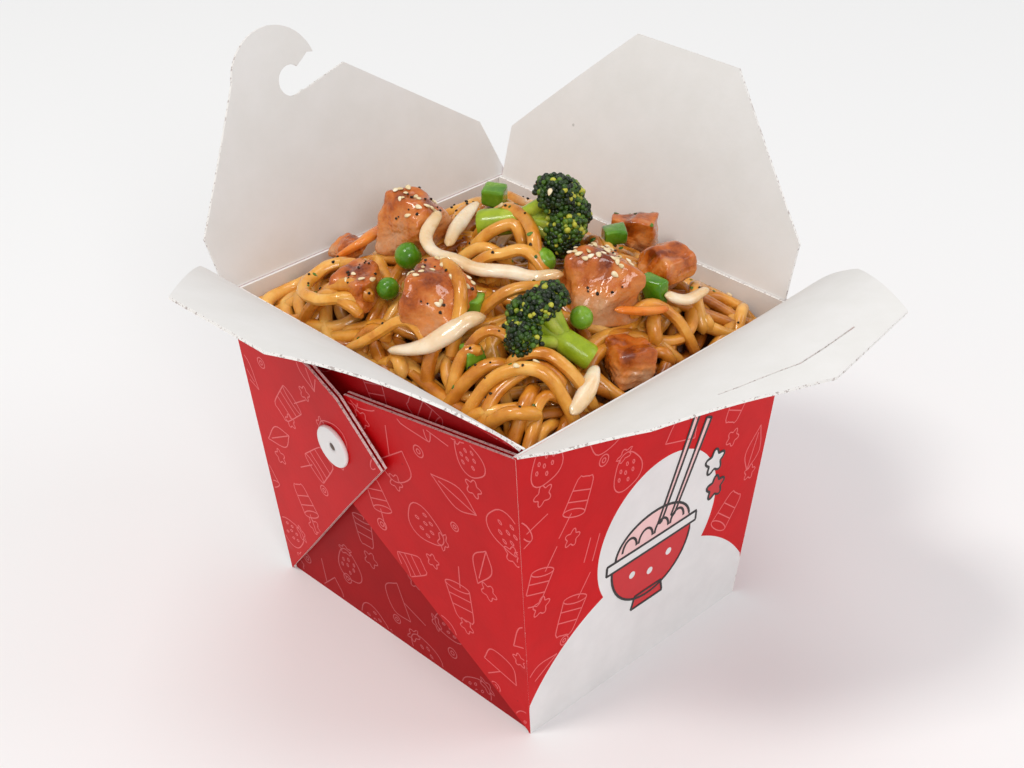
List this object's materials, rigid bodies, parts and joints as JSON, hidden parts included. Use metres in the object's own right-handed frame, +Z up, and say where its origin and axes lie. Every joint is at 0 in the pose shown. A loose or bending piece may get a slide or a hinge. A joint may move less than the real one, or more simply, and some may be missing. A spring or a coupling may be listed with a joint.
{
  "type": "noodle takeaway box",
  "caption": "Folded board takeaway box with four open flaps, heaped with noodles, chicken, broccoli and vegetables.",
  "frame": {"origin": "middle of the base, on the surface the box stands on", "axes": "+Z up; the walls with the folded corner webs and buttons face -X and +X, the plain walls face -Y (slit flap) and +Y (hook flap)"},
  "size_m": [0.1528, 0.1653, 0.1514],
  "materials": {
    "printed_board": "satin clay-coated board printed red outside",
    "bare_board": "matt white clay-coated board, red print on its outer side",
    "button": "satin white plastic",
    "noodle": "wheat noodles glazed with soy sauce",
    "chicken": "browned chicken, glazed",
    "broccoli": "cooked broccoli, satin",
    "sprout": "cooked onion and sprout strips, moist",
    "carrot": "cooked carrot strips, moist",
    "green": "peas and cut green beans, moist"
  },
  "bodies": {
    "carton": {"carton": "printed_board", "button_front": "button", "button_back": "button", "noodle_heap": "noodle", "chicken_1": "chicken", "chicken_2": "chicken", "chicken_3": "chicken", "chicken_4": "chicken", "chicken_5": "chicken", "chicken_6": "chicken", "chicken_7": "chicken", "chicken_8": "chicken", "broccoli_1": "broccoli", "broccoli_2": "broccoli", "sprout_1": "sprout", "sprout_2": "sprout", "sprout_3": "sprout", "sprout_4": "sprout", "sprout_5": "sprout", "carrot_1": "carrot", "carrot_2": "carrot", "carrot_3": "carrot", "pea_1": "green", "pea_2": "green", "pea_3": "green", "pea_4": "green", "bean_1": "green", "bean_2": "green", "bean_3": "green", "bean_4": "green", "bean_5": "green", "bean_6": "green"},
    "flap_front_body": {"flap_front": "bare_board"},
    "flap_back_body": {"flap_back": "bare_board"},
    "flap_slit_body": {"flap_slit": "bare_board"},
    "flap_hook_body": {"flap_hook": "bare_board"}
  },
  "joints": [
    {"name": "flap_front_crease", "type": "hinge", "parent": "carton", "child": "flap_front_body", "pos_m": [-0.0474, 0, 0.0918], "axis": [0, 1, 0], "range_deg": [-50, 58]},
    {"name": "flap_back_crease", "type": "hinge", "parent": "carton", "child": "flap_back_body", "pos_m": [0.0474, 0, 0.0918], "axis": [0, -1, 0], "range_deg": [-78, 28]},
    {"name": "flap_slit_crease", "type": "hinge", "parent": "carton", "child": "flap_slit_body", "pos_m": [0, -0.0526, 0.0918], "axis": [-1, 0, 0], "range_deg": [-104, 44]},
    {"name": "flap_hook_crease", "type": "hinge", "parent": "carton", "child": "flap_hook_body", "pos_m": [0, 0.0526, 0.0918], "axis": [1, 0, 0], "range_deg": [-155, 10]}
  ]
}
